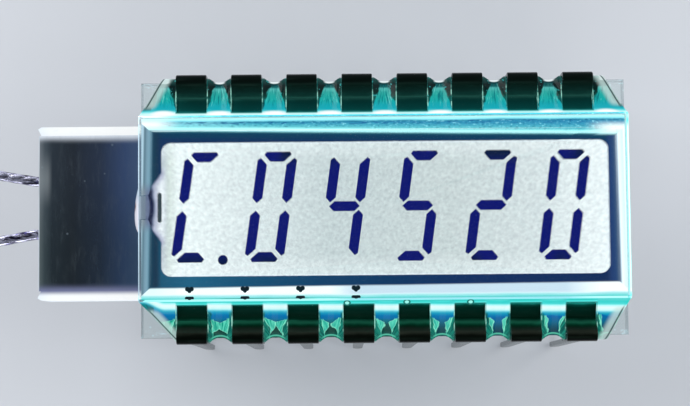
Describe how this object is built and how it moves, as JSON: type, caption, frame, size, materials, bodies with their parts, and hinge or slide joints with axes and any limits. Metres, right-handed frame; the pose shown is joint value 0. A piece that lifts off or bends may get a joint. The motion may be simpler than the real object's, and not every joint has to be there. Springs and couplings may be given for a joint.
{
  "type": "segment lcd display",
  "caption": "Numeric segment LCD cell with stamped clip-on pins along both long edges, set in resin, over an edge-lit light guide whose light source has two wire leads.",
  "frame": {"origin": "middle of the two rows of pins, at the level of the leg tips", "axes": "+Z out of the viewing face, +X along the row of digits from left to right, +Y towards the tops of the digits"},
  "size_m": [0.0326, 0.013, 0.0127],
  "materials": {
    "glass": "gloss",
    "seal": "matte",
    "plug_adhesive": "gloss",
    "crystal": "gloss",
    "front_polarizer": "gloss",
    "rear_polarizer": "satin",
    "segments": "gloss",
    "contact_dots": "matte",
    "tinned_pins": "gloss",
    "resin": "gloss",
    "light_guide": "gloss",
    "diffuser": "matte",
    "reflector": "polished",
    "cover_film": "gloss",
    "led_body": "gloss",
    "tinned_leads": "satin"
  },
  "bodies": {
    "root": {"rear_glass": "glass", "front_glass": "glass", "perimeter_seal": "seal", "end_seal": "plug_adhesive", "liquid_crystal": "crystal", "front_polarizer": "front_polarizer", "rear_polarizer": "rear_polarizer", "digit_1": "segments", "digit_2": "segments", "digit_3": "segments", "digit_4": "segments", "digit_5": "segments", "digit_6": "segments", "decimal_point": "segments", "transfer_dots": "contact_dots", "pin_01": "tinned_pins", "pin_02": "tinned_pins", "pin_03": "tinned_pins", "pin_04": "tinned_pins", "pin_05": "tinned_pins", "pin_06": "tinned_pins", "pin_07": "tinned_pins", "pin_08": "tinned_pins", "pin_09": "tinned_pins", "pin_10": "tinned_pins", "pin_11": "tinned_pins", "pin_12": "tinned_pins", "pin_13": "tinned_pins", "pin_14": "tinned_pins", "pin_15": "tinned_pins", "pin_16": "tinned_pins", "resin_top": "resin", "resin_bottom": "resin", "light_guide": "light_guide", "diffuser_film": "diffuser", "reflector_film": "reflector", "cover_film": "cover_film", "led_body": "led_body", "led_lead_anode": "tinned_leads", "led_lead_cathode": "tinned_leads"}
  },
  "joints": []
}
